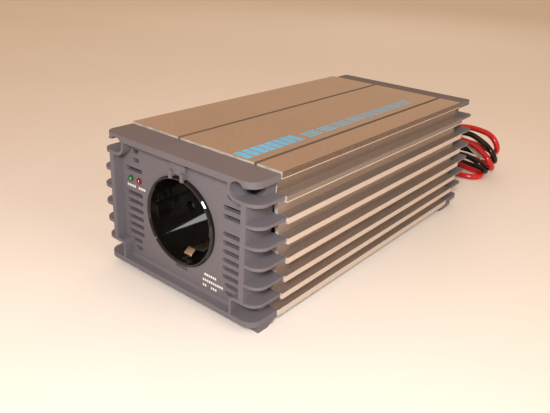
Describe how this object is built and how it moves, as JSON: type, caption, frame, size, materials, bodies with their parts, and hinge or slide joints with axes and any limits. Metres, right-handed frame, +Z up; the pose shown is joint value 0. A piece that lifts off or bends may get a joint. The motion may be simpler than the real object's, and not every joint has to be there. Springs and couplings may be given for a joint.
{
  "type": "power inverter",
  "caption": "Compact DC to AC power inverter with a finned aluminium housing, moulded end caps, a recessed earthed outlet, a rear fan, a rocker switch and folded DC leads.",
  "frame": {"origin": "centre of the housing's footprint, on the plane its feet stand on", "axes": "+Z up, -Y out of the outlet, +Y towards the fan and leads, +X to the right when the outlet faces you"},
  "size_m": [0.119, 0.311, 0.072],
  "materials": {
    "anodised_aluminium": "champagne anodised, fine matt grain",
    "base_aluminium": "plain mill finish",
    "cap_plastic": "warm grey moulded plastic, fine satin texture",
    "screw_black": "black oxide",
    "outlet_black": "polished black",
    "carrier_plastic": "moulded",
    "contact_brass": "bright",
    "earth_copper": "tinned copper alloy",
    "led_green": "tinted clear lens",
    "led_red": "tinted clear lens",
    "board_green": "solder mask over copper",
    "insulator": "thin film",
    "ferrite": "sintered, matt",
    "winding_tape": "polyester tape over copper",
    "capacitor_sleeve": "shrink sleeve",
    "capacitor_dark": "shrink sleeve",
    "transistor_case": "moulded epoxy with tinned tab",
    "clamp_aluminium": "plain",
    "thermal_pad": "soft silicone",
    "choke_yellow": "painted powder core",
    "copper_wire": "enamelled",
    "fuse_socket": "moulded",
    "fuse_orange": "translucent",
    "buzzer_black": "moulded",
    "fan_black": "moulded",
    "switch_black": "moulded",
    "terminal_tin": "tin plated",
    "lead_red": "soft PVC sheath",
    "lead_black": "soft PVC sheath",
    "wire_brown": "PVC sheath",
    "tie_nylon": "natural nylon",
    "sleeve_red": "vinyl",
    "sleeve_black": "vinyl"
  },
  "bodies": {
    "root": {"housing_shell": "anodised_aluminium", "base_plate": "base_aluminium", "base_screws": "screw_black", "front_cap": "cap_plastic", "rear_cap": "cap_plastic", "front_cap_screws": "screw_black", "rear_cap_screws": "screw_black", "outlet_cup": "outlet_black", "outlet_carrier": "carrier_plastic", "outlet_contacts": "contact_brass", "earth_clip": "earth_copper", "outlet_rear_cover": "carrier_plastic", "led_green": "led_green", "led_red": "led_red", "led_board": "board_green", "main_board": "board_green", "board_insulator": "insulator", "transformer_cores": "ferrite", "transformer_windings": "winding_tape", "input_capacitors": "capacitor_sleeve", "output_capacitor": "capacitor_dark", "transistors_left": "transistor_case", "transistors_right": "transistor_case", "clamp_bar_left": "clamp_aluminium", "clamp_bar_right": "clamp_aluminium", "clamp_screws": "screw_black", "thermal_pads": "thermal_pad", "choke_core": "choke_yellow", "choke_winding": "copper_wire", "fuse_sockets": "fuse_socket", "blade_fuses": "fuse_orange", "control_board": "board_green", "buzzer": "buzzer_black", "fan_frame": "fan_black", "fan_screws": "screw_black", "switch_body": "switch_black", "switch_terminals": "terminal_tin", "grommet_red": "lead_red", "grommet_black": "lead_black", "inner_wires_red": "lead_red", "inner_wires_black": "lead_black", "outlet_wires": "wire_brown", "fan_wires": "lead_red", "dc_lead_red": "lead_red", "dc_lead_black": "lead_black", "lead_hank": "lead_red", "cable_tie": "tie_nylon", "ring_terminal_red": "terminal_tin", "ring_terminal_black": "terminal_tin", "terminal_sleeve_red": "sleeve_red", "terminal_sleeve_black": "sleeve_black"},
    "fan_rotor": {"fan_rotor": "fan_black"},
    "switch_rocker": {"switch_rocker": "switch_black"}
  },
  "joints": [
    {"name": "fan_spin", "type": "hinge", "parent": "root", "child": "fan_rotor", "pos_m": [-0.016, 0.0924, 0.0377], "axis": [0, 1, 0], "continuous": true},
    {"name": "switch_tilt", "type": "hinge", "parent": "root", "child": "switch_rocker", "pos_m": [0.024, 0.1002, 0.047], "axis": [1, 0, 0], "range_deg": [0, 18]}
  ]
}
